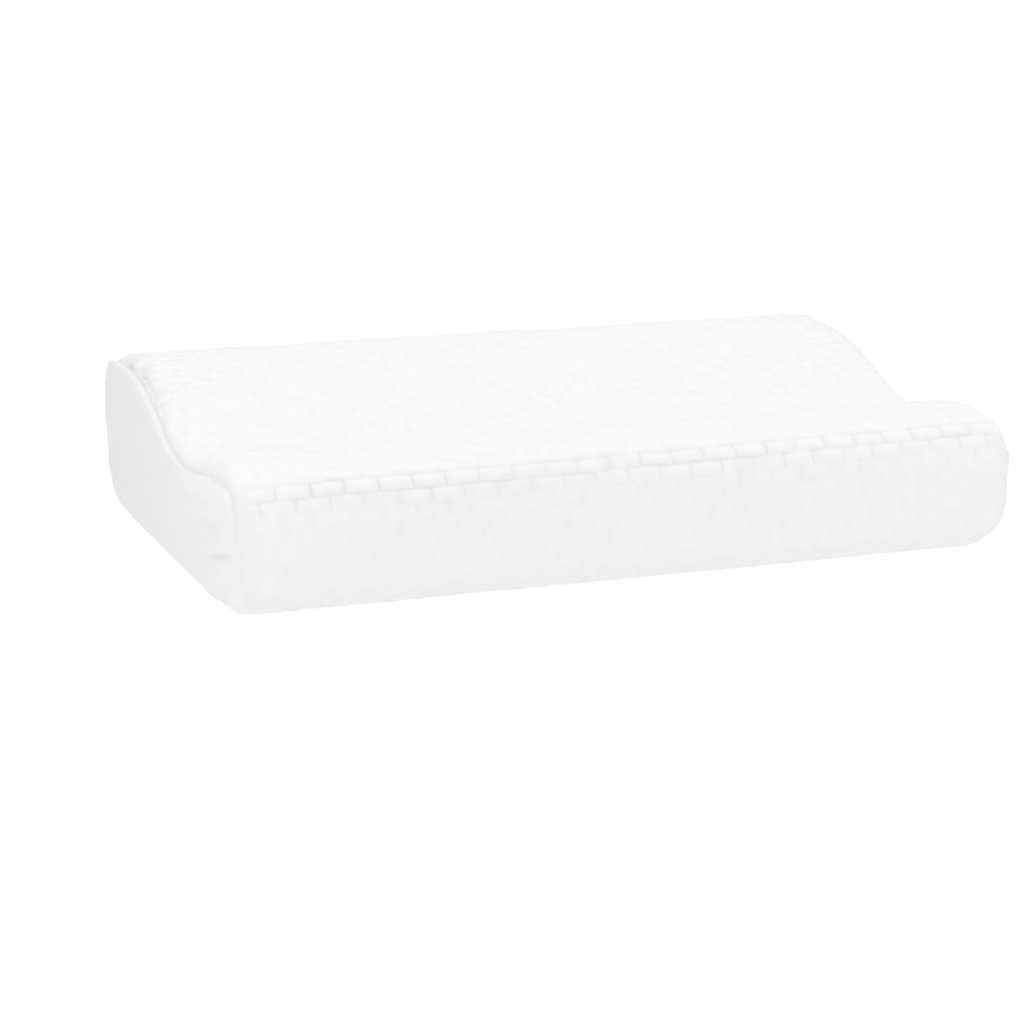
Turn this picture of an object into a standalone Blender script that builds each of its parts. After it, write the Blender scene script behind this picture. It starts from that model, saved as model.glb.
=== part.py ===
"""Contour pillow: a wave-shaped foam pillow in a quilted wrap with a plain sewn panel at each end.

Metres, +Z up. X runs along the length, the low roll lies at the front (-Y) and the high roll at
the back (+Y). The pillow rests on its flat underside at Z = 0, with the origin under its middle.
"""
import math
from collections import namedtuple

import bmesh
import bpy
from mathutils import Vector

# ---- overall sizes -------------------------------------------------------------------
LENGTH = 0.500          # along X, over the crowned end panels
DEPTH = 0.300           # along Y
HEIGHT = 0.105          # at the crest of the back roll
SEAM_X = 0.2435         # where the end panels are sewn to the wrap
PANEL_CROWN = 0.0065    # how far a panel stands out from its seam
PANEL_THICKNESS = 0.0020
SEAM_GAP = 0.0006       # between the wrap's sewn edge and the panel's edge, along X
UNDER_PANEL = 0.0008    # between the panel's inner face and the filled body
TUCK = 0.0070           # the section is this much smaller all round at the seam
ROLL_TUCK = 0.0070      # extra tuck where the front roll meets the seam
CREST_TUCK = -0.0050    # less tuck at the upper back corner, where the cloth stands fuller
HEEL_TUCK = 0.0085      # more tuck at the lower back corner, where the cloth is drawn under
TOE_TUCK = 0.0045       # and a little more at the lower front corner
SMOOTHING = 1           # subdivision steps of the cages

# ---- section across the pillow: points on its surface, once round from the underside --
SectionPoint = namedtuple("SectionPoint", "place y z")
SECTION = (
    SectionPoint("underside, front", -0.1120, 0.0000),
    SectionPoint("underside, middle front", -0.0400, 0.0000),
    SectionPoint("underside, middle back", 0.0400, 0.0000),
    SectionPoint("underside, back", 0.1120, 0.0000),
    SectionPoint("lower back turn", 0.1320, 0.0038),
    SectionPoint("lower back corner", 0.1454, 0.0160),
    SectionPoint("back face, low", 0.1500, 0.0370),
    SectionPoint("back face, high", 0.1500, 0.0660),
    SectionPoint("upper back turn", 0.1462, 0.0810),
    SectionPoint("upper back corner", 0.1340, 0.0975),
    SectionPoint("crest, back", 0.1060, 0.1047),
    SectionPoint("crest, front", 0.0780, 0.1041),
    SectionPoint("slope, top", 0.0508, 0.0976),
    SectionPoint("slope, middle", 0.0243, 0.0878),
    SectionPoint("slope, foot", -0.0020, 0.0776),
    SectionPoint("valley, back", -0.0250, 0.0735),
    SectionPoint("valley, front", -0.0445, 0.0741),
    SectionPoint("front roll, back", -0.0680, 0.0806),
    SectionPoint("front roll, top", -0.0930, 0.0872),
    SectionPoint("front roll, front", -0.1240, 0.0855),
    SectionPoint("upper front corner", -0.1413, 0.0762),
    SectionPoint("front face, high", -0.1492, 0.0571),
    SectionPoint("front face, low", -0.1500, 0.0330),
    SectionPoint("lower front corner", -0.1440, 0.0155),
    SectionPoint("lower front turn", -0.1285, 0.0038),
)
ROLL_TOP_Y = -0.098     # middle of the front roll
ROLL_WIDTH = 0.038      # how far along Y the extra tuck reaches
CREST = Vector((0.140, 0.095))   # the upper back corner
CREST_WIDTH = 0.022
HEEL = Vector((0.148, 0.012))    # the lower back corner
HEEL_WIDTH = 0.024
TOE = Vector((-0.142, 0.010))    # the lower front corner
TOE_WIDTH = 0.022

# ---- sections along the length: distance from the middle and share of the tuck --------
Station = namedtuple("Station", "place x tuck")
STATIONS = (
    Station("middle", 0.000, 0.00),
    Station("middle third", 0.110, 0.00),
    Station("before the turn", 0.218, 0.00),
    Station("turn begins", 0.2320, 0.035),
    Station("turn", 0.2390, 0.22),
    Station("beside the seam", 0.2427, 0.66),
)

# ---- rings of a panel: share of the way from its edge to its middle line ---------------
PanelRing = namedtuple("PanelRing", "place share crown")
PANEL_RINGS = (
    PanelRing("sewn edge", 0.00, 0.00),
    PanelRing("shoulder", 0.10, 0.42),
    PanelRing("rise", 0.30, 0.80),
    PanelRing("top", 0.62, 1.00),
)
MIDDLE_LINE_MARGIN = 0.040   # the middle line stops this far short of the front and back

# ---- colours ----------------------------------------------------------------------------
WRAP_COLOUR = (0.865, 0.865, 0.865, 1.0)
PANEL_COLOUR = (0.845, 0.845, 0.845, 1.0)


def clear_scene():
    for ob in list(bpy.data.objects):
        bpy.data.objects.remove(ob, do_unlink=True)


def material(name, colour, roughness):
    mat = bpy.data.materials.new(name)
    mat.use_nodes = True
    shader = mat.node_tree.nodes["Principled BSDF"]
    shader.inputs["Base Color"].default_value = colour
    shader.inputs["Roughness"].default_value = roughness
    shader.inputs["Metallic"].default_value = 0.0
    mat.diffuse_color = colour
    return mat


def section_ring():
    """Cage corners whose smoothed outline passes through the points of SECTION."""
    target = [Vector((p.y, p.z)) for p in SECTION]
    cage = [p.copy() for p in target]
    count = len(cage)
    for _ in range(60):
        for i in range(count):
            smooth = (cage[i - 1] + 4.0 * cage[i] + cage[(i + 1) % count]) / 6.0
            cage[i] = cage[i] + (target[i] - smooth)
            cage[i].y = max(cage[i].y, 0.0)      # the underside stays flat
    return cage


def middle_line(point):
    """The point of the section's middle line that a surface point shrinks towards."""
    limit = DEPTH / 2 - MIDDLE_LINE_MARGIN
    y = max(-limit, min(limit, point.x))
    top = height_over(y)
    return Vector((y, 0.48 * top))


def height_over(y):
    """Height of the pillow's top at a place across it, from the upper part of SECTION."""
    upper = sorted((p.y, p.z) for p in SECTION if p.z > 0.05)
    for (ya, za), (yb, zb) in zip(upper, upper[1:]):
        if ya <= y <= yb:
            return za + (zb - za) * (y - ya) / (yb - ya)
    return upper[0][1]


def tucked(ring, share):
    """The section made smaller all round, as it is drawn in towards the end seam."""
    out = []
    for p in ring:
        inward = (middle_line(p) - p).normalized()
        near_roll = math.exp(-(((p.x - ROLL_TOP_Y) / ROLL_WIDTH) ** 2)) if p.y > 0.03 else 0.0
        near_crest = math.exp(-(((p - CREST).length / CREST_WIDTH) ** 2))
        near_heel = math.exp(-(((p - HEEL).length / HEEL_WIDTH) ** 2))
        near_toe = math.exp(-(((p - TOE).length / TOE_WIDTH) ** 2))
        tuck = TUCK + ROLL_TUCK * near_roll + CREST_TUCK * near_crest + HEEL_TUCK * near_heel + TOE_TUCK * near_toe
        out.append(p + inward * share * tuck)
    return out


def towards_middle(ring, share):
    return [p.lerp(middle_line(p), share) for p in ring]


def join_rings(bm, first, second):
    count = len(first)
    for i in range(count):
        j = (i + 1) % count
        bm.faces.new((first[i], first[j], second[j], second[i]))


def close_ring(bm, ring):
    """Close a ring with faces between its lower and upper points that lie over each other."""
    back = max(range(len(ring)), key=lambda i: ring[i].co.y)
    lower = ring[: back + 1]
    upper = [ring[0]] + ring[: back - 1 : -1]
    i = j = 0
    while i < len(lower) - 1 or j < len(upper) - 1:
        step_low = lower[i + 1].co.y if i < len(lower) - 1 else 1.0
        step_up = upper[j + 1].co.y if j < len(upper) - 1 else 1.0
        corners = [lower[i]]
        if step_low - step_up < 0.02 and i < len(lower) - 1:
            i += 1
            corners.append(lower[i])
            if abs(step_low - step_up) < 0.02:
                j += 1
                corners.append(upper[j])
                corners.append(upper[j - 1])
            else:
                corners.append(upper[j])
        else:
            j += 1
            corners.append(upper[j])
            corners.append(upper[j - 1])
        corners = list(dict.fromkeys(corners))
        if len(corners) > 2:
            bm.faces.new(corners)


def start_at_front(ring):
    """Turn the list so that it starts low on the front, for an even end closing."""
    start = SECTION.index(next(p for p in SECTION if p.place == "lower front corner"))
    return ring[start:] + ring[:start]


def new_object(name, bm, mat, collection):
    bmesh.ops.recalc_face_normals(bm, faces=bm.faces[:])
    mesh = bpy.data.meshes.new(name)
    bm.to_mesh(mesh)
    bm.free()
    mesh.materials.append(mat)
    mesh.shade_smooth()
    ob = bpy.data.objects.new(name, mesh)
    collection.objects.link(ob)
    return ob


def smooth(ob):
    mod = ob.modifiers.new("Smoothing", "SUBSURF")
    mod.levels = SMOOTHING
    mod.render_levels = SMOOTHING
    return mod


def panel_cage(ring):
    """Rings of the right-hand panel's outer face, from its sewn edge to its top."""
    edge = tucked(ring, 1.0)
    rings = []
    for pr in PANEL_RINGS:
        x = SEAM_X + PANEL_CROWN * pr.crown
        rings.append([Vector((x, p.x, p.y)) for p in towards_middle(edge, pr.share)])
    return rings


def behind(rings, distance):
    """The same rings moved inwards, square to the surface that they describe."""
    out = []
    last = len(rings) - 1
    for k, row in enumerate(rings):
        moved = []
        count = len(row)
        for i, p in enumerate(row):
            along = row[(i + 1) % count] - row[i - 1]
            if k == 0:
                across = rings[1][i] - p
                middle = (rings[1][i] + p) / 2
                across.x += (middle.x - SEAM_X) * 0.6      # the crown rises fastest at its edge
            elif k == last:
                across = None
            else:
                across = rings[k + 1][i] - rings[k - 1][i]
            normal = Vector((1.0, 0.0, 0.0)) if across is None else across.cross(along).normalized()
            if normal.x < 0:
                normal = -normal
            moved.append(p - normal * distance)
        out.append(moved)
    return out


def add_row(bm, row, side=1.0):
    return [bm.verts.new((side * p.x, p.y, p.z)) for p in start_at_front(row)]


def make_body(ring, mat, collection):
    """The filled wrap: sections along the length, closed by crowned ends under the panels."""
    cage = panel_cage(ring)
    rows = []
    for st in STATIONS:
        rows.append([Vector((st.x, p.x, p.y)) for p in tucked(ring, st.tuck)])
    step = Vector((SEAM_GAP, 0.0, 0.0))
    rows.append([p - step for p in cage[0]])                       # the wrap's sewn edge
    inner = behind(cage, PANEL_THICKNESS + UNDER_PANEL)
    inner[0] = [p - step for p in inner[0]]
    seam_rows = (len(rows) - 1, len(rows))
    rows += inner
    bm = bmesh.new()
    right = [add_row(bm, r) for r in rows]
    left = [right[0]] + [add_row(bm, r, -1.0) for r in rows[1:]]
    for half in (right, left):
        for a, b in zip(half, half[1:]):
            join_rings(bm, a, b)
        close_ring(bm, half[-1])
    crease = bm.edges.layers.float.new("crease_edge")
    for half in (right, left):
        for k in seam_rows:
            row = half[k]
            for i, v in enumerate(row):
                bm.edges.get((v, row[(i + 1) % len(row)]))[crease] = 1.0
    ob = new_object("pillow_body", bm, mat, collection)
    smooth(ob)
    return ob


def make_panel(name, side, ring, mat, collection):
    """A plain cloth panel: an open crowned sheet from its sewn edge, thickened inwards."""
    bm = bmesh.new()
    rings = [add_row(bm, r, side) for r in panel_cage(ring)]
    for a, b in zip(rings, rings[1:]):
        join_rings(bm, a, b)
    close_ring(bm, rings[-1])
    ob = new_object(name, bm, mat, collection)
    # the open sheet faces away from the filling
    if sum(f.normal.x * f.area for f in ob.data.polygons) * side < 0:
        ob.data.flip_normals()
    smooth(ob)
    shell = ob.modifiers.new("Cloth", "SOLIDIFY")
    shell.thickness = PANEL_THICKNESS
    shell.offset = -1.0
    return ob


def bounds(objects):
    graph = bpy.context.evaluated_depsgraph_get()
    low = Vector((1e9, 1e9, 1e9))
    high = Vector((-1e9, -1e9, -1e9))
    for ob in objects:
        mesh = ob.evaluated_get(graph).to_mesh()
        for v in mesh.vertices:
            for k in range(3):
                low[k] = min(low[k], v.co[k])
                high[k] = max(high[k], v.co[k])
        ob.evaluated_get(graph).to_mesh_clear()
    return low, high


def trim_to_size(objects):
    """Small stretch of the cages so that the smoothed pillow has its stated sizes."""
    for _ in range(2):
        low, high = bounds(objects)
        scale = (LENGTH / (high.x - low.x), DEPTH / (high.y - low.y), HEIGHT / (high.z - low.z))
        middle = (low + high) / 2
        for ob in objects:
            for v in ob.data.vertices:
                v.co.x = (v.co.x - middle.x) * scale[0]
                v.co.y = (v.co.y - middle.y) * scale[1]
                v.co.z = (v.co.z - low.z) * scale[2]
            ob.data.update()
        bpy.context.view_layer.update()


clear_scene()
pillow = bpy.data.collections.new("contour_pillow")
bpy.context.scene.collection.children.link(pillow)
wrap_cloth = material("quilted_wrap", WRAP_COLOUR, 0.90)
left_cloth = material("plain_panel_left", PANEL_COLOUR, 0.92)
right_cloth = material("plain_panel_right", PANEL_COLOUR, 0.92)

ring = section_ring()
parts = [
    make_body(ring, wrap_cloth, pillow),
    make_panel("end_panel_left", -1.0, ring, left_cloth, pillow),
    make_panel("end_panel_right", 1.0, ring, right_cloth, pillow),
]
trim_to_size(parts)
low, high = bounds(parts)
print("size", [round((b - a) * 1000, 2) for a, b in zip(low, high)], "low", [round(v * 1000, 2) for v in low])
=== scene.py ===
"""Looks of the contour pillow: quilted wrap, plain end panels, floor, light and camera."""
import math

import bpy
import numpy as np
from mathutils import Matrix, Vector


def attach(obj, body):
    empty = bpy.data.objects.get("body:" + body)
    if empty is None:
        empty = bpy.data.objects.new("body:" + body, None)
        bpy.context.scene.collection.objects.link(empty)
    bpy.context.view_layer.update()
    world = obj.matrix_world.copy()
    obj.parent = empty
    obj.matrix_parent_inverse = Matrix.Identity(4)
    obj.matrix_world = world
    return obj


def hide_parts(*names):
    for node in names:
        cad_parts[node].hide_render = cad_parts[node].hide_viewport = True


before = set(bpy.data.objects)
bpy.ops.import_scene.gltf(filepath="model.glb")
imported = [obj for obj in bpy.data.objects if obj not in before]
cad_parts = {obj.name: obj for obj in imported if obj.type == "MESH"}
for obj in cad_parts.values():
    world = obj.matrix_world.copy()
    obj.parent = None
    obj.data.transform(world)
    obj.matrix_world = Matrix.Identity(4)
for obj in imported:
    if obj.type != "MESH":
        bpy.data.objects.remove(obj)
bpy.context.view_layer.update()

# ---------------------------------------------------------------- sizes (metres) ---------
LENGTH, DEPTH, HEIGHT = 0.500, 0.300, 0.105
SEAM_X = 0.2435                  # the seam between the wrap and an end panel
TUCK = 0.0070                    # how much smaller the section is at the seam
ROLL_TUCK = 0.0070               # and how much more beside the front roll
ROLL_TOP_Y, ROLL_WIDTH = -0.098, 0.038
CREST_TUCK = -0.0050             # and how much less at the upper back corner
HEEL_TUCK = 0.0085               # and how much more at the lower back corner
TOE_TUCK = 0.0045                # and at the lower front corner
BRICK = 0.01996                  # length of one quilted brick, along X
ROWS = 82                        # rows of bricks once round the pillow
PHASE = -0.0020                  # where the upright channels of the even rows fall
ROW_PHASE = 0.15                 # where the first lengthwise channel falls, in rows
SKEW = -0.0068 / 0.46             # the cloth runs a little out of line with the roll
PUFF = 0.00095                   # height of a brick over its channels, at most

# points on the surface, once round the section from the underside (y, z)
SECTION = (
    (-0.1120, 0.0000), (-0.0400, 0.0000), (0.0400, 0.0000), (0.1120, 0.0000),   # underside
    (0.1320, 0.0038), (0.1454, 0.0160), (0.1500, 0.0370), (0.1500, 0.0660),     # back
    (0.1462, 0.0810), (0.1340, 0.0975), (0.1060, 0.1047), (0.0780, 0.1041),     # high roll
    (0.0508, 0.0976), (0.0243, 0.0878), (-0.0020, 0.0776),                      # slope
    (-0.0250, 0.0735), (-0.0445, 0.0741), (-0.0680, 0.0806),                    # valley
    (-0.0930, 0.0872), (-0.1240, 0.0855), (-0.1413, 0.0762),                    # low roll
    (-0.1492, 0.0571), (-0.1500, 0.0330), (-0.1440, 0.0155), (-0.1285, 0.0038), # front
)


# ---------------------------------------------------------------- small tools ------------
def steady(x, y, q):
    """Smooth interpolation through (x, y) that never overshoots (monotone cubic)."""
    x, y, q = (np.asarray(a, float) for a in (x, y, q))
    h = np.diff(x)
    d = np.diff(y) / h
    m = np.zeros_like(y)
    m[0], m[-1] = d[0], d[-1]
    for i in range(1, len(x) - 1):
        if d[i - 1] * d[i] > 0:
            w1, w2 = 2 * h[i] + h[i - 1], h[i] + 2 * h[i - 1]
            m[i] = (w1 + w2) / (w1 / d[i - 1] + w2 / d[i])
    q = np.clip(q, x[0], x[-1])
    i = np.clip(np.searchsorted(x, q) - 1, 0, len(x) - 2)
    t = (q - x[i]) / h[i]
    return ((1 + 2 * t) * (1 - t) ** 2 * y[i] + t * (1 - t) ** 2 * h[i] * m[i]
            + t * t * (3 - 2 * t) * y[i + 1] + t * t * (t - 1) * h[i] * m[i + 1])


def lumps(u, v, cell, seed, round_v=None):
    """Soft random field in about -1..1 over (u, v); repeats in v after round_v."""
    rng = np.random.default_rng(seed)
    gv = max(3, int(round(round_v / cell))) if round_v else 512
    table = rng.uniform(-1, 1, (512, gv))
    a = u / cell + 200.0
    b = v / (round_v / gv if round_v else cell) + (0 if round_v else 200.0)
    i, j = np.floor(a).astype(int), np.floor(b).astype(int)
    s, t = a - i, b - j
    s, t = s * s * s * (s * (6 * s - 15) + 10), t * t * t * (t * (6 * t - 15) + 10)
    g = lambda p, q: table[p % 512, q % gv]
    return ((g(i, j) * (1 - s) + g(i + 1, j) * s) * (1 - t)
            + (g(i, j + 1) * (1 - s) + g(i + 1, j + 1) * s) * t)


def chance(i, j, seed):
    """One random number in 0..1 for each pair of whole numbers."""
    rng = np.random.default_rng(seed)
    return rng.uniform(0, 1, (256, 256))[np.asarray(i) % 256, np.asarray(j) % 256]


def bump(d, width):
    return np.exp(-(d / width) ** 2)


# ---------------------------------------------------------------- the section ------------
def section_curve():
    """Dense closed outline of the section through the points of SECTION."""
    target = np.array(SECTION)
    cage = target.copy()
    for _ in range(60):
        for i in range(len(cage)):
            smooth = (cage[i - 1] + 4 * cage[i] + cage[(i + 1) % len(cage)]) / 6
            cage[i] = cage[i] + target[i] - smooth
            cage[i, 1] = max(cage[i, 1], 0.0)
    t = np.linspace(0, 1, 24, endpoint=False)[:, None]
    out = []
    for i in range(len(cage)):
        a, b, c, d = cage[i - 1], cage[i], cage[(i + 1) % len(cage)], cage[(i + 2) % len(cage)]
        out.append(((1 - t) ** 3 * a + (3 * t ** 3 - 6 * t ** 2 + 4) * b
                    + (-3 * t ** 3 + 3 * t ** 2 + 3 * t + 1) * c + t ** 3 * d) / 6)
    out = np.vstack(out)
    out[:, 1] = np.maximum(out[:, 1], 0)
    lo, hi = out.min(0), out.max(0)
    out[:, 0] = (out[:, 0] - (lo[0] + hi[0]) / 2) * DEPTH / (hi[0] - lo[0])
    out[:, 1] = (out[:, 1] - lo[1]) * HEIGHT / (hi[1] - lo[1])
    return out


CURVE = section_curve()
_loop = np.vstack([CURVE, CURVE[:1]])
_arc = np.concatenate([[0], np.cumsum(np.linalg.norm(np.diff(_loop, axis=0), axis=1))])
GIRTH = _arc[-1]
_upper = CURVE[CURVE[:, 1] > 0.05]
_upper = _upper[np.argsort(_upper[:, 0])]


def top_over(y):
    return np.interp(y, _upper[:, 0], _upper[:, 1])


def section_at(s):
    """Point and inward direction at arc length s round the section."""
    s = np.mod(s, GIRTH)
    y = np.interp(s, _arc, _loop[:, 0])
    z = np.interp(s, _arc, _loop[:, 1])
    my = np.clip(y, -0.110, 0.110)
    mz = 0.48 * top_over(my)
    dy, dz = my - y, mz - z
    n = np.sqrt(dy * dy + dz * dz)
    return y, z, dy / n, dz / n


def arc_of(y, z):
    """Arc length of the section point nearest to (y, z)."""
    return _arc[np.argmin((CURVE[:, 0] - y) ** 2 + (CURVE[:, 1] - z) ** 2)]


def extra_tuck(y, z):
    roll = np.exp(-(((y - ROLL_TOP_Y) / ROLL_WIDTH) ** 2)) * np.clip((z - 0.02) / 0.03, 0, 1)
    crest = np.exp(-((y - 0.140) ** 2 + (z - 0.095) ** 2) / 0.022 ** 2)
    heel = np.exp(-((y - 0.148) ** 2 + (z - 0.012) ** 2) / 0.024 ** 2)
    toe = np.exp(-((y + 0.142) ** 2 + (z - 0.010) ** 2) / 0.022 ** 2)
    return TUCK + ROLL_TUCK * roll + CREST_TUCK * crest + HEEL_TUCK * heel + TOE_TUCK * toe


def seam_depth(y, z):
    """How deep the seam sits: deepest over the rolls, pulled nearly flat down the front."""
    front = np.clip((-0.118 - y) / 0.014, 0, 1) * np.clip((0.078 - z) / 0.014, 0, 1)
    under = np.clip((0.020 - z) / 0.010, 0, 1)
    low = np.clip((-0.118 - y) / 0.014, 0, 1) * np.clip((0.060 - z) / 0.020, 0, 1)
    return 1.0 - 0.72 * front - 0.40 * under * (1 - front) - 0.24 * low


# how the wrap turns in towards its seam: x, share of the tuck, and depth into the seam
TURN = np.array([
    (0.0000, 0.000, 0.0000), (0.1000, 0.000, 0.0000), (0.2160, 0.000, 0.0000),
    (0.2270, 0.014, 0.0000), (0.2330, 0.058, 0.0000), (0.2368, 0.145, 0.0001),
    (0.2396, 0.280, 0.0001), (0.2414, 0.450, 0.0002), (0.2425, 0.650, 0.0003),
    (0.2431, 0.830, 0.0004), (0.2434, 0.950, 0.0005), (0.2436, 1.000, 0.0005),
])
_tx = np.linspace(0, TURN[-1, 0], 2400)
_ts = steady(TURN[:, 0], TURN[:, 1], _tx)
_td = steady(TURN[:, 0], TURN[:, 2], _tx)
_tu = np.concatenate([[0], np.cumsum(np.sqrt(np.diff(_tx) ** 2 + np.diff(_ts * 0.0065 + _td) ** 2))])
REACH = _tu[-1]                  # half length of the wrap along its surface


def wrap_surface(u, s):
    """Unquilted surface of the wrap at lengthwise u and arc length s."""
    a = np.abs(u)
    x = np.interp(a, _tu, _tx) * np.sign(u)
    share, dip = np.interp(a, _tu, _ts), np.interp(a, _tu, _td)
    y, z, iy, iz = section_at(s)
    inset = share * extra_tuck(y, z) + dip * seam_depth(y, z)
    return np.stack([x, y + iy * inset, z + iz * inset], -1)


def grid_normals(p, closed_rows=True):
    """Outward normals of a grid of points: rows run round the section, columns along X."""
    dv = np.roll(p, -1, 0) - np.roll(p, 1, 0) if closed_rows else np.gradient(p, axis=0)
    du = np.gradient(p, axis=1)
    n = np.cross(dv, du)
    return n / np.maximum(np.linalg.norm(n, axis=-1, keepdims=True), 1e-12)


# ---------------------------------------------------------------- meshes -----------------
def make_mesh(name, verts, faces, smooth=True):
    mesh = bpy.data.meshes.new(name)
    mesh.from_pydata([tuple(map(float, v)) for v in verts], [], [tuple(map(int, f)) for f in faces])
    mesh.validate()
    mesh.update()
    if smooth:
        mesh.shade_smooth()
    ob = bpy.data.objects.new(name, mesh)
    bpy.context.scene.collection.objects.link(ob)
    return ob


def crease(ob, members):
    """The cloth's turned edge: a hard edge between points that are all in members."""
    mesh = ob.data
    inside = np.zeros(len(mesh.vertices), bool)
    inside[np.asarray(members)] = True
    ends = np.empty(len(mesh.edges) * 2, int)
    mesh.edges.foreach_get("vertices", ends)
    hard = inside[ends.reshape(-1, 2)].all(1)
    at = mesh.attributes.get("sharp_edge") or mesh.attributes.new("sharp_edge", "BOOLEAN", "EDGE")
    at.data.foreach_set("value", hard)
    mesh.update()


def grid_faces(rows, cols, start=0, closed=True, flip=False):
    j = np.arange(rows if closed else rows - 1)
    i = np.arange(cols - 1)
    J, I = np.meshgrid(j, i, indexing="ij")
    a = start + J * cols + I
    b = start + J * cols + I + 1
    c = start + ((J + 1) % rows) * cols + I + 1
    d = start + ((J + 1) % rows) * cols + I
    f = np.stack([a, b, c, d], -1).reshape(-1, 4)
    return f[:, ::-1] if flip else f


def wrap_columns():
    """Lengthwise places of the mesh columns: close together at the upright channels."""
    inner = REACH - 0.0092
    cols = []
    k = int(-0.27 / (BRICK / 2))
    while k * BRICK / 2 + PHASE < 0.27:
        g = k * BRICK / 2 + PHASE
        cols += [g - 0.0014, g, g + 0.0014, g + BRICK / 4]
        k += 1
    cols = sorted(c for c in cols if abs(c) < inner)
    ends = [0.0080, 0.0066, 0.0053, 0.0041, 0.0031, 0.0023, 0.0016, 0.0010, 0.0005, 0.0]
    right = [REACH - e for e in ends]
    return np.array([-r for r in reversed(right)] + cols + right)


def seam_puckers(s, side, seed):
    """Small gathers beside a seam, stronger on the convex turns."""
    y, z, _, _ = section_at(s)
    turn = 0.35 + 0.9 * bump(np.hypot(y + 0.135, z - 0.072), 0.022) + 0.5 * bump(np.hypot(y - 0.140, z - 0.098), 0.02)
    turn = turn + 0.35 * bump(np.hypot(y + 0.145, z - 0.012), 0.02)
    wave = lumps(s, s * 0, 0.0052, seed, None) + 0.6 * lumps(s, s * 0, 0.0105, seed + 1, None)
    return wave * turn


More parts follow.
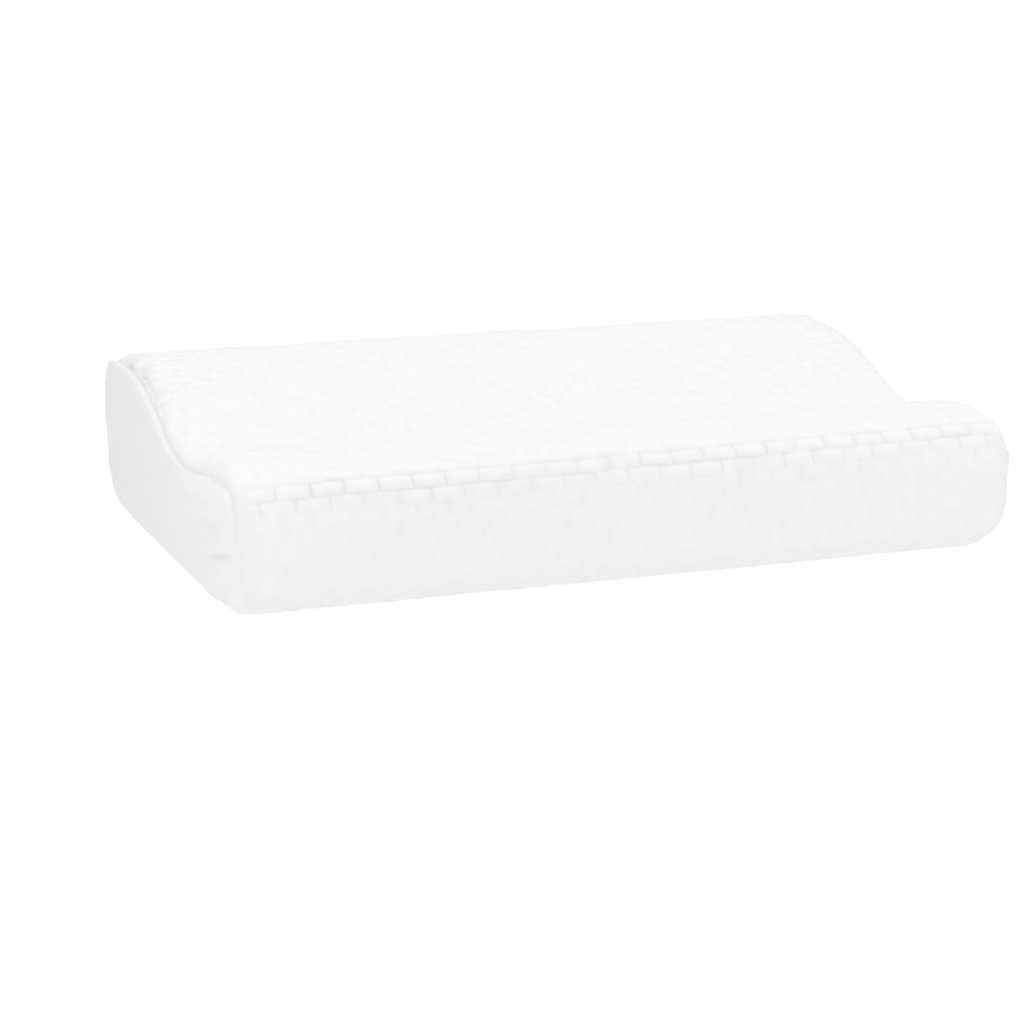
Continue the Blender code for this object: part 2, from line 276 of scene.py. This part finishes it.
def make_wrap():
    u = wrap_columns()
    share = np.array([0.0, 0.12, 0.50, 0.88])
    row = GIRTH / ROWS
    v = ((np.arange(ROWS)[:, None] + share[None, :]).reshape(-1) + ROW_PHASE) * row
    V, U = np.meshgrid(v, u, indexing="ij")
    # position on the cloth: a slow drift and a little unevenness, none at the seams
    free = np.clip((REACH - np.abs(U)) / 0.03, 0, 1)
    free = free * free * (3 - 2 * free)
    wob_v = (0.00075 * lumps(U, V, 0.045, 11, GIRTH) + 0.00045 * lumps(U, V, 0.017, 12, GIRTH)) * free
    wob_u = (0.00070 * lumps(U, V, 0.040, 13, GIRTH) + 0.00055 * lumps(U, V, 0.014, 14, GIRTH)) * free
    S = V + SKEW * np.clip(U, -0.235, 0.235) + wob_v
    P = wrap_surface(U + wob_u, S)
    N = grid_normals(P)
    if N[0, len(u) // 2, 2] > 0:
        N = -N
    # the quilting
    rows = np.floor(V / row - ROW_PHASE + 1e-6).astype(int)
    b = V / row - ROW_PHASE - rows
    b = np.clip(b, 0, 1)
    par = rows % 2
    a = (U - PHASE) / BRICK - 0.5 * par
    k = np.floor(a + 1e-6).astype(int)
    a = np.clip(a - k, 0, 1)
    du, dv = np.minimum(a, 1 - a) * BRICK, np.minimum(b, 1 - b) * row
    near = np.where(a < 0.5, k, k + 1)
    near_row = np.where(b < 0.5, rows, rows + 1) % ROWS
    half = np.floor((U - PHASE) / (BRICK / 2)).astype(int)
    y, z = P[..., 1], P[..., 2]
    away = REACH - np.abs(U)
    # the quilting stands out where the cloth bends over the front edge and beside the high seams
    edge = bump(np.hypot(y + 0.1425, z - 0.0765), 0.0155)
    crest_row = int(np.floor(arc_of(-0.1425, 0.0765) / row - ROW_PHASE))
    high = np.clip((y - 0.000) / 0.05, 0, 1) * np.clip(z / 0.05, 0, 1) * np.exp(-(away / 0.048) ** 1.4)
    high = high * (1 - 0.5 * np.clip((y - 0.140) / 0.008, 0, 1))
    face = np.clip((-0.140 - y) / 0.006, 0, 1) * np.clip((z - 0.010) / 0.06, 0, 1)
    # upright channels, and channels along the rows: clear on the row at the edge, then fading
    fade_up = np.interp(rows - crest_row, [-3, -2, -1, 0, 1, 2, 3, 4, 5], [0.24, 0.24, 0.34, 1.0, 0.80, 0.46, 0.36, 0.34, 0.30])
    fade_along = np.interp(near_row - crest_row, [-3, -2, -1, 0, 1, 2, 3, 4], [0.22, 0.22, 0.26, 0.90, 1.0, 0.40, 0.28, 0.22])
    luck_up, luck_along = chance(near + 60, rows, 21), chance(half + 60, near_row, 22)
    fade_up = fade_up + 0.25 * ((rows - crest_row) == -1) * np.clip((U - 0.02) / 0.06, 0, 1)
    up = np.maximum(fade_up, 0.62 * high) * (0.60 + 0.40 * luck_up) * np.where((luck_up < 0.30) & (fade_up < 0.5), 0.45, 1.0)
    along = np.maximum(fade_along, 0.58 * high) * (0.55 + 0.45 * luck_along) * np.where((luck_along < 0.35) & (fade_along < 0.5), 0.35, 1.0)
    fu = 1 - np.exp(-(du / 0.00100) ** 1.6) * up
    fv = 1 - np.exp(-(dv / 0.00085) ** 1.6) * along
    full = 0.75 + 0.50 * chance(k + 60, rows, 23)                  # fullness of each brick
    crown = (1 - 0.22 * np.abs(2 * a - 1) ** 3) * (1 - 0.30 * np.abs(2 * b - 1) ** 2)
    tilt = (chance(k + 60, rows, 24) - 0.5) * (2 * a - 1) * 0.30 + (chance(k + 60, rows, 25) - 0.5) * (2 * b - 1) * 0.35
    puff = fu * fv * (crown * full + tilt)
    relief = 0.74 + 0.40 * edge + 1.35 * high
    # a plain strip beside the seam, widest down the front
    front = np.clip((-0.088 - y) / 0.025, 0, 1)
    strip = 0.0015 + 0.0085 * front
    calm = np.clip((away - strip) / 0.0025, 0, 1)
    calm = calm * calm * (3 - 2 * calm)
    fine = 0.26 * lumps(U, V, 0.0062, 31, GIRTH) + 0.14 * lumps(U, V, 0.0030, 32, GIRTH)
    fine = fine * (1 - 0.35 * edge + 1.10 * np.clip((z - 0.065) / 0.01, 0, 1) * (1 - edge) + 1.8 * face * (1 - edge))
    height = PUFF * relief * (puff * calm + (1 - calm) * 0.80 + fine * fu * fv) - PUFF * relief * 1.0
    near_seam = np.clip(away / 0.0045, 0, 1)
    slow = 0.0015 * lumps(U, V, 0.0082, 43, GIRTH) * high * (1 - 0.55 * bump(np.hypot(y - 0.138, z - 0.096), 0.024)) * near_seam ** 2 * (3 - 2 * near_seam) + 0.0005 * lumps(U, V, 0.075, 41, GIRTH) * free + 0.00025 * lumps(U, V, 0.028, 42, GIRTH) * free
    slow = slow - 0.0015 * bump(away - 0.0052, 0.0048) * high * (0.80 + 0.2 * lumps(U, V, 0.012, 44, GIRTH)) * (1 - 0.45 * bump(np.hypot(y - 0.138, z - 0.096), 0.024))
    top = np.clip(z / 0.02, 0, 1)
    # gathers beside the seam
    gather = np.zeros_like(height)
    for sgn, seed in ((-1, 51), (1, 61)):
        near_end = np.clip(1 - (REACH - U * sgn) / 0.011, 0, 1) ** 1.5
        lip = np.clip((REACH - U * sgn) / 0.0015, 0, 1)
        gather += np.clip(0.00060 * seam_puckers(S, sgn, seed) - 0.00010, -0.00050, 0.00012) * near_end * lip
    sewn = np.clip(away / 0.0012, 0, 1)
    P = P + N * ((height + (slow + 0.0001) * top) * sewn + gather)[..., None]
    P[..., 2] = np.maximum(P[..., 2], 0.0)
    # closed behind the panels
    n_rows, n_cols = P.shape[:2]
    verts = [P.reshape(-1, 3)]
    faces = [grid_faces(n_rows, n_cols)]
    # painted shade: a value that darkens the cloth's colour in the quilting channels, where the grooves lie in shade
    channel_shade = np.maximum(1 - fu, 0.55 * (1 - fv)) * calm * np.clip(0.40 + 0.60 * edge + 0.15 * high, 0, 1)
    # the cloth lies in shade where it runs down into the seam, and among the gathers of the high end
    channel_shade = channel_shade + 0.60 * bump(away, 0.0019) * seam_depth(y, z) + 0.50 * bump(away, 0.0085) * np.clip(high, 0, 1)
    # painted shade: the plain strip down the front face is darkened beside the seam, where it turns into shade
    channel_shade = channel_shade + 0.30 * (1 - calm) * np.clip((-0.135 - y) / 0.008, 0, 1)
    extra = [np.clip(channel_shade, 0, 1).reshape(-1)]
    uvs = [np.stack([U, V], -1).reshape(-1, 2)]
    base = n_rows * n_cols
    for col, sgn in ((0, -1), (n_cols - 1, 1)):
        ring = np.arange(n_rows) * n_cols + col
        sy, sz, iy, iz = section_at(V[:, col])
        seam_in = extra_tuck(sy, sz) + 0.0005 * seam_depth(sy, sz)
        oy, oz = sy + iy * seam_in, sz + iz * seam_in
        my = np.clip(oy, -0.110, 0.110)
        mz = 0.48 * top_over(my)
        previous = ring
        for f, x in ((0.03, 0.2432), (0.30, 0.2448), (0.65, 0.2458)):
            q = np.stack([np.full(n_rows, sgn * x), oy + (my - oy) * f, oz + (mz - oz) * f], -1)
            here = base + np.arange(n_rows)
            base += n_rows
            verts.append(q)
            extra.append(np.zeros(n_rows))
            uvs.append(np.stack([np.full(n_rows, sgn * REACH), V[:, col]], -1))
            quad = np.stack([previous, np.roll(previous, -1), np.roll(here, -1), here], -1)
            faces.append(quad if sgn < 0 else quad[:, ::-1])
            previous = here
        # one flat closing strip between the lower and upper halves of the last ring
        order = list(previous)
        qy = oy + (my - oy) * 0.65
        first, last = int(np.argmin(qy)), int(np.argmax(qy))
        chain_a = [order[(first + t) % n_rows] for t in range((last - first) % n_rows + 1)]
        chain_b = [order[(first - t) % n_rows] for t in range((first - last) % n_rows + 1)]
        ya = {o: float(qy[t]) for t, o in enumerate(order)}
        i = j = 0
        strip = []
        while i < len(chain_a) - 1 or j < len(chain_b) - 1:
            step_a = ya[chain_a[i + 1]] if i < len(chain_a) - 1 else 9.0
            step_b = ya[chain_b[j + 1]] if j < len(chain_b) - 1 else 9.0
            if step_a <= step_b:
                tri = (chain_a[i], chain_a[i + 1], chain_b[j])
                i += 1
            else:
                tri = (chain_a[i], chain_b[j + 1], chain_b[j])
                j += 1
            if len(set(tri)) == 3:
                strip.append(tri if sgn < 0 else tri[::-1])
        faces.append(strip)
    verts = np.vstack(verts)
    polys = [tuple(f) for block in faces for f in block]
    ob = make_mesh("quilted_wrap", verts, polys)
    put_layers(ob, np.vstack(uvs), {"channel_shade": np.concatenate(extra)})
    crease(ob, np.concatenate([np.arange(n_rows) * n_cols, np.arange(n_rows) * n_cols + n_cols - 1]))
    return ob


def put_layers(ob, uv, values):
    """Cloth coordinates in metres as a UV map, and named values on the points."""
    mesh = ob.data
    index = np.empty(len(mesh.loops), int)
    mesh.loops.foreach_get("vertex_index", index)
    layer = mesh.uv_layers.new(name="cloth")
    layer.data.foreach_set("uv", uv[index].astype(np.float32).ravel())
    for name, val in values.items():
        at = mesh.attributes.new(name, "FLOAT", "POINT")
        at.data.foreach_set("value", np.asarray(val, np.float32))


# ---------------------------------------------------------------- end panels -------------
# from the seam outwards and round onto the face: x past the seam, inset past the tuck
EDGE = np.array([
    (-0.00005, 0.00030), (0.0006, 0.0003), (0.0013, 0.0000), (0.0021, -0.0003), (0.0030, -0.0002),
    (0.0038, 0.0006), (0.0046, 0.0025), (0.0052, 0.0056), (0.0057, 0.0100), (0.0060, 0.0160),
])
# the same below the seam of the front roll, where the cloth stands out in a fuller, slanting edge
FULL_EDGE = np.array([
    (-0.00005, 0.00030), (0.0007, 0.0005), (0.0016, 0.0010), (0.0026, 0.0018), (0.0036, 0.0029),
    (0.0046, 0.0043), (0.0054, 0.0060), (0.0061, 0.0083), (0.0066, 0.0115), (0.0069, 0.0160),
])
# and low on the front, where the panel runs round into the wrap with hardly a groove
SOFT_EDGE = np.array([
    (-0.00005, 0.00030), (0.0004, 0.0006), (0.0009, 0.0013), (0.0015, 0.0022), (0.0022, 0.0034),
    (0.0030, 0.0050), (0.0038, 0.0072), (0.0046, 0.0100), (0.0053, 0.0132), (0.0059, 0.0172),
])
LONG_SIDE, SHORT_SIDE = 168, 44
THICK = 0.0020
CORNERS = ((-0.1440, 0.0115), (0.1440, 0.0115), (0.1430, 0.0930), (-0.1405, 0.0720))


def edge_arcs():
    """Arc lengths of the panel's outline points, side by side: under, back, top, front."""
    c = [arc_of(*p) for p in CORNERS]
    sides = []
    for k, n in enumerate((LONG_SIDE, SHORT_SIDE, LONG_SIDE, SHORT_SIDE)):
        a, b = c[k], c[(k + 1) % 4]
        if b <= a:
            b += GIRTH
        sides.append(a + (b - a) * np.arange(n) / n)
    return np.concatenate(sides)


def relax(flat, faces_n, fixed, load, steps=260):
    """Height of a stretched sheet under an even push, held where fixed (conjugate gradients)."""
    tri = np.vstack([faces_n[:, [0, 1, 2]], faces_n[:, [0, 2, 3]]])
    i_all, j_all, w_all = [], [], []
    area = np.zeros(len(flat))
    for a, b, c in ((0, 1, 2), (1, 2, 0), (2, 0, 1)):
        pa, pb, pc = flat[tri[:, a]], flat[tri[:, b]], flat[tri[:, c]]
        e1, e2 = pa - pc, pb - pc
        cross = np.abs(e1[:, 0] * e2[:, 1] - e1[:, 1] * e2[:, 0])
        cot = (e1 * e2).sum(1) / np.maximum(cross, 1e-12)
        i_all.append(tri[:, a]); j_all.append(tri[:, b]); w_all.append(np.maximum(cot, 0.02) / 2)
        np.add.at(area, tri[:, c], cross / 6)
    i_, j_, w_ = np.concatenate(i_all), np.concatenate(j_all), np.concatenate(w_all)
    n = len(flat)

    def stiff(x):
        d = w_ * (x[i_] - x[j_])
        y = np.bincount(i_, d, n) - np.bincount(j_, d, n)
        y[fixed] = 0
        return y

    r = area * load
    r[fixed] = 0
    x = np.zeros(n)
    p = r.copy()
    rr = r @ r
    for _ in range(steps):
        q = stiff(p)
        alpha = rr / max(p @ q, 1e-30)
        x += alpha * p
        r = r - alpha * q
        new = r @ r
        if new < 1e-22:
            break
        p = r + new / rr * p
        rr = new
    return x


def make_panel(name, side):
    s = edge_arcs()
    n = len(s)
    y, z, iy, iz = section_at(s)
    tuck = extra_tuck(y, z)
    puck = seam_puckers(s, side, 71 if side < 0 else 81)
    rings, uv_rings = [], []
    full = bump(np.hypot(y + 0.098, z - 0.080), 0.034)
    proud = np.clip((z - 0.030) / 0.030, 0.15, 1)
    soft = np.clip((-0.112 - y) / 0.024, 0, 1) * np.clip((0.066 - z) / 0.024, 0, 1)
    soft = np.maximum(soft * soft * (3 - 2 * soft), 0.9 * bump(np.hypot(y - 0.150, z - 0.010), 0.030))
    tight = 0.58 * bump(np.hypot(y + 0.144, z - 0.011), 0.024) + 0.62 * bump(np.hypot(y - 0.146, z - 0.012), 0.024)
    for k in range(len(EDGE)):
        dx = EDGE[k, 0] * (1 - full) + FULL_EDGE[k, 0] * full
        inset = EDGE[k, 1] * (1 - full) + FULL_EDGE[k, 1] * full
        dx = dx * (1 - soft) + SOFT_EDGE[k, 0] * soft
        inset = inset * (1 - soft) + SOFT_EDGE[k, 1] * soft
        inset = inset * (1 - tight * k / 9)
        dx = dx * (0.60 if side > 0 else 1.0)                    # the right end is filled less at its edge
        w = np.sin(min(k / 4.0, 1.0) * math.pi / 2) * math.exp(-max(k - 4, 0) / 3.5)
        d = tuck + inset * (seam_depth(y, z) if k < 1 else proud if inset.mean() < 0 else 1.0) - 0.00025 * puck * w
        x = SEAM_X + dx + 0.00045 * puck * w
        rings.append(np.stack([x, y + iy * d, z + iz * d], -1))
    # the face: a grid between the four sides of the last ring
    last = rings[-1]
    nl, ns = LONG_SIDE, SHORT_SIDE
    under = last[0:nl + 1]
    back = last[nl:nl + ns + 1]
    top = last[nl + ns:2 * nl + ns + 1][::-1]
    front = np.vstack([last[2 * nl + ns:], last[:1]])[::-1]
    gu, gv = np.linspace(0, 1, nl + 1)[:, None, None], np.linspace(0, 1, ns + 1)[None, :, None]
    face = ((1 - gv) * under[:, None] + gv * top[:, None] + (1 - gu) * front[None] + gu * back[None]
            - (1 - gu) * (1 - gv) * under[0] - gu * (1 - gv) * under[-1] - (1 - gu) * gv * top[0] - gu * gv * top[-1])
    # indices: edge rings first, then the inside of the grid
    idx = np.full((nl + 1, ns + 1), -1)
    start = (len(EDGE) - 1) * n
    idx[:, 0] = start + np.arange(nl + 1)
    idx[nl, :] = start + nl + np.arange(ns + 1)
    idx[:, ns] = (start + nl + ns + np.arange(nl + 1))[::-1]
    f_ids = np.append(start + 2 * nl + ns + np.arange(ns), start)
    idx[0, :] = f_ids[::-1]
    base = len(EDGE) * n
    inner = np.arange((nl - 1) * (ns - 1)).reshape(nl - 1, ns - 1) + base
    idx[1:nl, 1:ns] = inner
    verts = np.vstack([np.vstack(rings), face[1:nl, 1:ns].reshape(-1, 3)])
    quads = []
    for k in range(len(EDGE) - 1):
        a = k * n + np.arange(n)
        quads.append(np.stack([a, np.roll(a, -1), np.roll(a, -1) + n, a + n], -1))
    quads.append(np.stack([idx[:-1, :-1], idx[1:, :-1], idx[1:, 1:], idx[:-1, 1:]], -1).reshape(-1, 4))
    quads = np.vstack(quads)
    # crown of the face
    held = np.zeros(len(verts), bool)
    held[:len(EDGE) * n] = True
    grid_q = quads[(len(EDGE) - 1) * n:]
    phi = relax(verts[:, 1:], grid_q, held, 1.0)
    phi = phi / phi.max()
    verts[:, 0] += (0.0006 if side < 0 else 0.0030) * phi ** 0.85
    Y, Z = verts[:, 1], verts[:, 2]
    inside = np.zeros(len(verts))
    dist = np.sqrt(((verts[:, None, 1:] - np.stack([y + iy * tuck, z + iz * tuck], -1)[None, ::3]) ** 2).sum(-1)).min(1)
    inside = 1 - np.exp(-(dist / 0.012) ** 2)
    shape = 0.00045 * lumps(Y, Z, 0.030, 91 + side, None) * inside + 0.0007 * lumps(Y, Z, 0.055, 95 + side, None) * inside
    shape = shape + panel_folds(Y, Z, dist, side, s, puck)
    shape = shape + 0.00006 * lumps(Y, Z, 0.0030, 101 + side, None)
    verts[:, 0] += shape
    outer = verts
    # cloth thickness: the same sheet again, moved in square to itself
    nrm = np.zeros_like(outer)
    for a, b, c in ((0, 1, 2), (0, 2, 3)):
        t = np.cross(outer[quads[:, b]] - outer[quads[:, a]], outer[quads[:, c]] - outer[quads[:, a]])
        for q in (a, b, c):
            np.add.at(nrm, quads[:, q], t)
    nrm /= np.maximum(np.linalg.norm(nrm, axis=1, keepdims=True), 1e-15)
    if nrm[base:, 0].mean() < 0:
        nrm = -nrm
    within = outer.copy()
    away = THICK * np.clip(np.concatenate([np.repeat(np.linspace(0.15, 1, len(EDGE)), n), np.ones(len(outer) - base)]), 0, 1)
    within = within - nrm * away[:, None]
    within[:n] = outer[:n] + np.stack([np.zeros(n), iy * 0.0006, iz * 0.0006], -1)
    both = np.vstack([outer, within])
    m = len(outer)
    a = np.arange(n)
    rim = np.stack([a, np.roll(a, -1), np.roll(a, -1) + m, a + m], -1)
    all_q = np.vstack([quads, quads[:, ::-1] + m, rim[:, ::-1]])
    both[:, 0] *= side
    t0 = outer[quads[0]]
    # faces point out
    mid = quads[len(quads) // 2]
    fn = np.cross(both[mid[1]] - both[mid[0]], both[mid[2]] - both[mid[0]])
    if fn[0] * side < 0:
        all_q = all_q[:, ::-1]
    ob = make_mesh(name, both, all_q)
    uv = np.stack([both[:, 1], both[:, 2]], -1) + np.array([3.0 * side, 1.0])
    put_layers(ob, uv, {"channel_shade": np.zeros(len(both))})
    crease(ob, np.concatenate([np.arange(n), m + np.arange(n)]))
    e = both[:m]
    area = 0.0
    for p, q, r in ((0, 1, 2), (0, 2, 3)):
        area += np.linalg.norm(np.cross(e[quads[:, q]] - e[quads[:, p]], e[quads[:, r]] - e[quads[:, p]]), axis=1).sum() / 2
    return ob, float(area)


def line_distance(Y, Z, a, b):
    """Distance from a short line on the panel, and place along it from 0 to 1."""
    a, b = np.array(a), np.array(b)
    d = b - a
    t = np.clip(((Y - a[0]) * d[0] + (Z - a[1]) * d[1]) / (d @ d), 0, 1)
    return np.hypot(Y - a[0] - t * d[0], Z - a[1] - t * d[1]), t


# soft creases and ridges on the left panel: from (y, z) to (y, z), width, height
FOLDS_LEFT = (
    ((-0.100, 0.0300), (-0.144, 0.0420), 0.0013, -0.0019),
    ((-0.102, 0.0345), (-0.141, 0.0450), 0.0028, 0.0006),
    ((-0.108, 0.0268), (-0.139, 0.0352), 0.0026, 0.0004),
    ((-0.1385, 0.0560), (-0.1395, 0.0440), 0.0018, -0.0006),
    ((-0.108, 0.0150), (-0.136, 0.0210), 0.0022, -0.0006),
    ((-0.056, 0.0560), (-0.096, 0.0635), 0.0070, 0.0042),
    ((-0.099, 0.0635), (-0.116, 0.0600), 0.0058, 0.0030),
    ((-0.092, 0.0520), (-0.122, 0.0525), 0.0046, -0.0022),
    ((0.020, 0.0300), (0.090, 0.0600), 0.0140, -0.0005),
)
FOLDS_RIGHT = (
    ((-0.112, 0.0300), (-0.139, 0.0255), 0.0028, -0.0009),
    ((-0.066, 0.0590), (-0.116, 0.0695), 0.0066, 0.0013),
    ((0.108, 0.0300), (0.134, 0.0220), 0.0030, -0.0008),
)


def panel_folds(Y, Z, dist, side, s, puck):
    out = np.zeros_like(Y)
    for a, b, w, h in (FOLDS_LEFT if side < 0 else FOLDS_RIGHT):
        d, t = line_distance(Y, Z, a, b)
        out += h * bump(d, w) * (1 - 0.5 * np.abs(2 * t - 1) ** 3)
    return out * (1 - np.exp(-(dist / 0.0045) ** 2))


# ---------------------------------------------------------------- materials --------------
def cloth_material(name, colour, quilted):
    mat = bpy.data.materials.new(name)
    mat.use_nodes = True
    nt = mat.node_tree
    nodes, links = nt.nodes, nt.links
    shader = nodes["Principled BSDF"]
    shader.inputs["Roughness"].default_value = 0.88
    shader.inputs["Metallic"].default_value = 0.0
    shader.inputs["Specular IOR Level"].default_value = 0.25
    shader.inputs["Sheen Weight"].default_value = 0.08
    shader.inputs["Sheen Roughness"].default_value = 0.45
    shader.inputs["Sheen Tint"].default_value = (1.0, 1.0, 1.0, 1.0)

    uv = nodes.new("ShaderNodeUVMap")
    uv.uv_map = "cloth"

    def mapped(scale, turn=0.0):
        m = nodes.new("ShaderNodeMapping")
        m.inputs["Scale"].default_value = scale
        m.inputs["Rotation"].default_value = (0, 0, turn)
        links.new(uv.outputs["UV"], m.inputs["Vector"])
        return m.outputs["Vector"]

    def math_node(op, a, b=None, c=None):
        m = nodes.new("ShaderNodeMath")
        m.operation = op
        for k, v in enumerate((a, b, c)):
            if v is None:
                continue
            if isinstance(v, (int, float)):
                m.inputs[k].default_value = v
            else:
                links.new(v, m.inputs[k])
        return m.outputs["Value"]

    # knitted loops: fine upright ribs, crossed by courses
    def wave(direction, per_metre, distortion):
        w = nodes.new("ShaderNodeTexWave")
        w.wave_type = "BANDS"
        w.bands_direction = direction
        w.wave_profile = "SIN"
        w.inputs["Scale"].default_value = per_metre / (2 * math.pi) * 0.3142 * 1.0
        w.inputs["Distortion"].default_value = distortion
        w.inputs["Detail"].default_value = 1.0
        w.inputs["Detail Scale"].default_value = 2.0
        links.new(mapped((1, 1, 1)), w.inputs["Vector"])
        return w.outputs["Fac"]

    ribs = wave("X", 1150.0 * 2 * math.pi, 0.6)
    courses = wave("Y", 900.0 * 2 * math.pi, 0.6)
    loops = math_node("MULTIPLY", ribs, courses)

    grain = nodes.new("ShaderNodeTexNoise")
    grain.inputs["Scale"].default_value = 900.0
    grain.inputs["Detail"].default_value = 3.0
    grain.inputs["Roughness"].default_value = 0.6
    links.new(mapped((1, 1, 1)), grain.inputs["Vector"])

    slub = nodes.new("ShaderNodeTexNoise")
    slub.inputs["Scale"].default_value = 260.0
    slub.inputs["Detail"].default_value = 2.0
    links.new(mapped((0.35, 1.0, 1.0)), slub.inputs["Vector"])

    soft = nodes.new("ShaderNodeTexNoise")
    soft.inputs["Scale"].default_value = 14.0
    soft.inputs["Detail"].default_value = 2.0
    links.new(mapped((1, 1, 1)), soft.inputs["Vector"])

    mottle = nodes.new("ShaderNodeTexNoise")
    mottle.inputs["Scale"].default_value = 110.0
    mottle.inputs["Detail"].default_value = 1.0
    links.new(mapped((1.3, 0.8, 1)), mottle.inputs["Vector"])

    # colour: near white, a shade deeper between the loops, and painted shade deeper still in the quilting channels and
    # beside the seam
    ramp = nodes.new("ShaderNodeMix")
    ramp.data_type = "RGBA"
    ramp.inputs["A"].default_value = (*[c * 0.935 for c in colour], 1)
    ramp.inputs["B"].default_value = (*colour, 1)
    tone = math_node("MULTIPLY_ADD", loops, 0.25, 0.0)
    tone = math_node("ADD", tone, math_node("MULTIPLY", grain.outputs["Fac"], 0.35))
    tone = math_node("ADD", tone, math_node("MULTIPLY", soft.outputs["Fac"], 0.30))
    tone = math_node("ADD", tone, math_node("MULTIPLY_ADD", mottle.outputs["Fac"], 1.40 if quilted else 0.25, -0.25 if quilted else 0.0))
    links.new(tone, ramp.inputs["Factor"])
    colour_out = ramp.outputs["Result"]
    if quilted:
        # painted shade: the colour is darkened where the wrap's stored shade value is high, in the quilting channels
        # and down into the seam
        chan = nodes.new("ShaderNodeAttribute")
        chan.attribute_name = "channel_shade"
        deep = nodes.new("ShaderNodeMix")
        deep.data_type = "RGBA"
        deep.inputs["B"].default_value = (*[c * 0.89 for c in colour], 1)
        links.new(colour_out, deep.inputs["A"])
        links.new(math_node("MULTIPLY", chan.outputs["Fac"], 1.0), deep.inputs["Factor"])
        colour_out = deep.outputs["Result"]
    links.new(colour_out, shader.inputs["Base Color"])

    height = math_node("ADD", math_node("MULTIPLY", loops, 0.6), math_node("MULTIPLY", grain.outputs["Fac"], 0.5))
    height = math_node("ADD", height, math_node("MULTIPLY", slub.outputs["Fac"], 0.5))
    relief = nodes.new("ShaderNodeBump")
    relief.inputs["Strength"].default_value = 0.35
    relief.inputs["Distance"].default_value = 0.00022
    links.new(height, relief.inputs["Height"])
    links.new(relief.outputs["Normal"], shader.inputs["Normal"])
    mat.diffuse_color = (*colour, 1)
    return mat


# ---------------------------------------------------------------- build ------------------
wrap = make_wrap()
left, left_area = make_panel("plain_panel_left", -1)
right, right_area = make_panel("plain_panel_right", 1)
wrap.data.materials.append(cloth_material("quilted_knit", (0.865, 0.865, 0.865), True))
panel_cloth = cloth_material("plain_knit", (0.855, 0.855, 0.855), False)
for ob in (left, right):
    ob.data.materials.append(panel_cloth)

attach(wrap, "root")
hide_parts("pillow_body")
for ob, node, area in ((left, "end_panel_left", left_area), (right, "end_panel_right", right_area)):
    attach(ob, "root")
    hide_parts(node)

# ---------------------------------------------------------------- floor and light --------
scene = bpy.context.scene
floor_mesh = bpy.data.meshes.new("floor")
R = 9.0
floor_mesh.from_pydata([(-R, -R, -0.0004), (R, -R, -0.0004), (R, R, -0.0004), (-R, R, -0.0004)], [], [(0, 1, 2, 3)])
floor = bpy.data.objects.new("floor", floor_mesh)
scene.collection.objects.link(floor)
fm = bpy.data.materials.new("pale_floor")
fm.use_nodes = True
fs = fm.node_tree.nodes["Principled BSDF"]
fs.inputs["Base Color"].default_value = (0.12, 0.12, 0.12, 1)
fs.inputs["Roughness"].default_value = 0.95
fs.inputs["Specular IOR Level"].default_value = 0.0
fs.inputs["Emission Color"].default_value = (1, 1, 1, 1)
fs.inputs["Emission Strength"].default_value = 0.90
floor_mesh.materials.append(fm)

world = bpy.data.worlds.new("studio")
world.use_nodes = True
world.node_tree.nodes["Background"].inputs["Color"].default_value = (1, 1, 1, 1)
world.node_tree.nodes["Background"].inputs["Strength"].default_value = 0.745
scene.world = world


def soft_box(name, position, target, size, watts):
    light = bpy.data.lights.new(name, "AREA")
    light.shape = "DISK"
    light.size = size
    light.energy = watts
    ob = bpy.data.objects.new(name, light)
    scene.collection.objects.link(ob)
    ob.location = position
    ob.rotation_euler = (Vector(target) - Vector(position)).to_track_quat("-Z", "Y").to_euler()
    return ob


soft_box("top", (-0.02, 0.36, 1.45), (0.02, 0.0, 0.05), 1.5, 7.4)
soft_box("right", (1.00, -0.15, 0.75), (0.25, -0.05, 0.08), 0.7, 0.45)
soft_box("front_left", (-0.62, -0.32, 0.22), (-0.24, -0.05, 0.05), 0.28, 0.40)
soft_box("front", (0.42, -1.00, 0.50), (0.02, -0.05, 0.04), 0.9, 2.05)

scene.view_settings.view_transform = "Standard"
scene.view_settings.look = "None"
scene.view_settings.exposure = 0.0
scene.view_settings.gamma = 1.0

# ---------------------------------------------------------------- camera -----------------
CAM = dict(x=-0.6371, y=-1.5026, z=0.4428, yaw=22.178, pitch=14.859, roll=1.086, f=2685.5, cx=512.0, cy=512.0)


def place_camera(c):
    yaw, pitch, roll = (math.radians(c[k]) for k in ("yaw", "pitch", "roll"))
    fwd = np.array([math.sin(yaw) * math.cos(pitch), math.cos(yaw) * math.cos(pitch), -math.sin(pitch)])
    right_ = np.array([math.cos(yaw), -math.sin(yaw), 0.0])
    up = np.cross(right_, fwd)
    r2 = right_ * math.cos(roll) + up * math.sin(roll)
    u2 = -right_ * math.sin(roll) + up * math.cos(roll)
    m = Matrix(((r2[0], u2[0], -fwd[0], c["x"]), (r2[1], u2[1], -fwd[1], c["y"]), (r2[2], u2[2], -fwd[2], c["z"]), (0, 0, 0, 1)))
    cam = bpy.data.cameras.new("camera")
    cam.sensor_width = 36.0
    cam.lens = c["f"] / 1024 * 36.0
    cam.shift_x = (512.0 - c["cx"]) / 1024
    cam.shift_y = (c["cy"] - 512.0) / 1024
    ob = bpy.data.objects.new("camera", cam)
    scene.collection.objects.link(ob)
    ob.matrix_world = m
    scene.camera = ob


place_camera(CAM)

bpy.context.view_layer.update()
